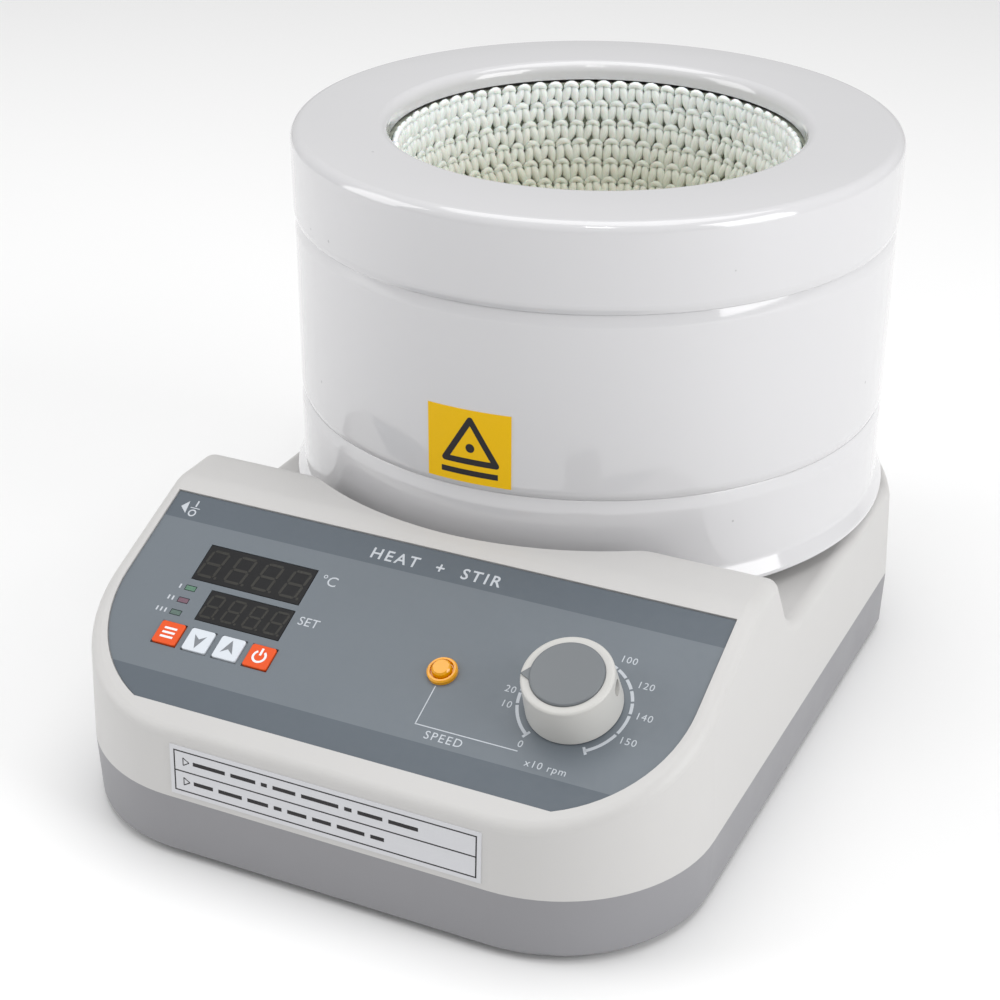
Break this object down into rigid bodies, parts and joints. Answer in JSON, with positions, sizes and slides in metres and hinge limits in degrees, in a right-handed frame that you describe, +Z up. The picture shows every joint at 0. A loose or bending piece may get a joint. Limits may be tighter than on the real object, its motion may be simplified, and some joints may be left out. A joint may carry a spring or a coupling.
{
  "type": "stirring heating mantle",
  "caption": "Stirring heating mantle: enamelled drum with a knitted glass pocket for a round flask, on a plastic base with a sloped control panel.",
  "frame": {"origin": "centre of the base's outline, on the surface that the rubber feet stand on", "axes": "+Z up, the control panel faces -Y, +X to the right as seen from the panel"},
  "size_m": [0.204, 0.2996, 0.1841],
  "materials": {
    "lower_plastic": "grey moulded ABS, fine grain",
    "upper_plastic": "ivory moulded ABS, fine grain",
    "foot_rubber": "soft black rubber",
    "zinc_steel": "zinc-plated",
    "white_enamel": "glossy white stoved enamel on steel",
    "glass_yarn": "knitted glass yarn",
    "heater_yarn": "resistance wire in glass sleeving",
    "fibre_block": "pressed ceramic fibre",
    "probe_steel": "stainless sheath",
    "sticker_yellow": "matte printed label",
    "sticker_white": "matte printed label",
    "printed_panel": "screen-printed blue-grey sheet",
    "smoked_window": "smoked acrylic",
    "display_black": "black with grey segments",
    "led_lens": "diffused",
    "switch_black": "moulded",
    "board_green": "solder mask",
    "nylon_white": "moulded",
    "pot_metal": "die-cast",
    "knob_plastic": "warm white moulded",
    "knob_disc": "grey moulded, slight lustre",
    "key_orange": "printed key",
    "key_white": "printed key",
    "amber_lens": "transparent amber",
    "inlet_black": "moulded",
    "rocker_black": "moulded",
    "tin_brass": "tinned",
    "motor_steel": "zinc-plated can",
    "bracket_steel": "zinc-plated sheet",
    "bronze": "sintered",
    "carrier_alloy": "turned",
    "magnet_nickel": "nickel-plated",
    "core_steel": "varnished laminations",
    "sink_alloy": "black anodised"
  },
  "bodies": {
    "base": {"lower_shell": "lower_plastic", "upper_shell": "upper_plastic", "rubber_feet": "foot_rubber", "case_screws": "zinc_steel", "drum_cap": "white_enamel", "drum_body": "white_enamel", "drum_base": "white_enamel", "heating_fabric": "glass_yarn", "heating_element": "heater_yarn", "insulation": "fibre_block", "thermocouple": "probe_steel", "caution_sticker": "sticker_yellow", "drum_spacers": "nylon_white", "drum_screws": "zinc_steel", "drum_nuts": "zinc_steel", "panel_label": "printed_panel", "info_sticker": "sticker_white", "pv_window": "smoked_window", "sv_window": "smoked_window", "pv_display": "display_black", "sv_display": "display_black", "indicator_leds": "led_lens", "tact_switches": "switch_black", "control_board": "board_green", "board_posts": "nylon_white", "board_screws": "zinc_steel", "speed_pot": "pot_metal", "pot_nut": "zinc_steel", "speed_lamp": "amber_lens", "lamp_nut": "switch_black", "rocker_frame": "inlet_black", "rocker_pin": "zinc_steel", "power_inlet": "inlet_black", "inlet_pins": "tin_brass", "fuse_holder": "inlet_black", "stirrer_motor": "motor_steel", "motor_bracket": "bracket_steel", "bracket_screws": "zinc_steel", "motor_bearing": "bronze", "power_board": "board_green", "transformer": "core_steel", "triac_heatsink": "sink_alloy", "terminal_block": "nylon_white"},
    "knob": {"speed_knob": "knob_plastic", "knob_cap": "knob_disc", "knob_screw": "zinc_steel", "pot_shaft": "zinc_steel"},
    "key_mode_cap": {"key_mode": "key_orange"},
    "key_down_cap": {"key_down": "key_white"},
    "key_up_cap": {"key_up": "key_white"},
    "key_auto_cap": {"key_auto": "key_orange"},
    "rocker": {"power_rocker": "rocker_black"},
    "magnet_rotor": {"motor_shaft": "probe_steel", "magnet_carrier": "carrier_alloy", "rotor_magnets": "magnet_nickel"}
  },
  "joints": [
    {"name": "speed_knob_turn", "type": "hinge", "parent": "base", "child": "knob", "pos_m": [0.0606, -0.1086, 0.06327], "axis": [0, -0.4024, 0.9155], "range_deg": [-253, 41]},
    {"name": "key_mode_press", "type": "slide", "parent": "base", "child": "key_mode_cap", "axis": [0, 0.4024, -0.9155], "range_m": [0, 0.0005], "stiffness_N_per_m": 400, "springref_m": -0.0005},
    {"name": "key_down_press", "type": "slide", "parent": "base", "child": "key_down_cap", "axis": [0, 0.4024, -0.9155], "range_m": [0, 0.0005], "stiffness_N_per_m": 400, "springref_m": -0.0005},
    {"name": "key_up_press", "type": "slide", "parent": "base", "child": "key_up_cap", "axis": [0, 0.4024, -0.9155], "range_m": [0, 0.0005], "stiffness_N_per_m": 400, "springref_m": -0.0005},
    {"name": "key_auto_press", "type": "slide", "parent": "base", "child": "key_auto_cap", "axis": [0, 0.4024, -0.9155], "range_m": [0, 0.0005], "stiffness_N_per_m": 400, "springref_m": -0.0005},
    {"name": "power_rocker_tilt", "type": "hinge", "parent": "base", "child": "rocker", "pos_m": [-0.09676, -0.0817, 0.04734], "axis": [0, 1, 0], "range_deg": [0, 20]},
    {"name": "magnet_spin", "type": "hinge", "parent": "base", "child": "magnet_rotor", "pos_m": [0, 0.0427, 0.0741], "axis": [0, 0, 1], "continuous": true}
  ]
}
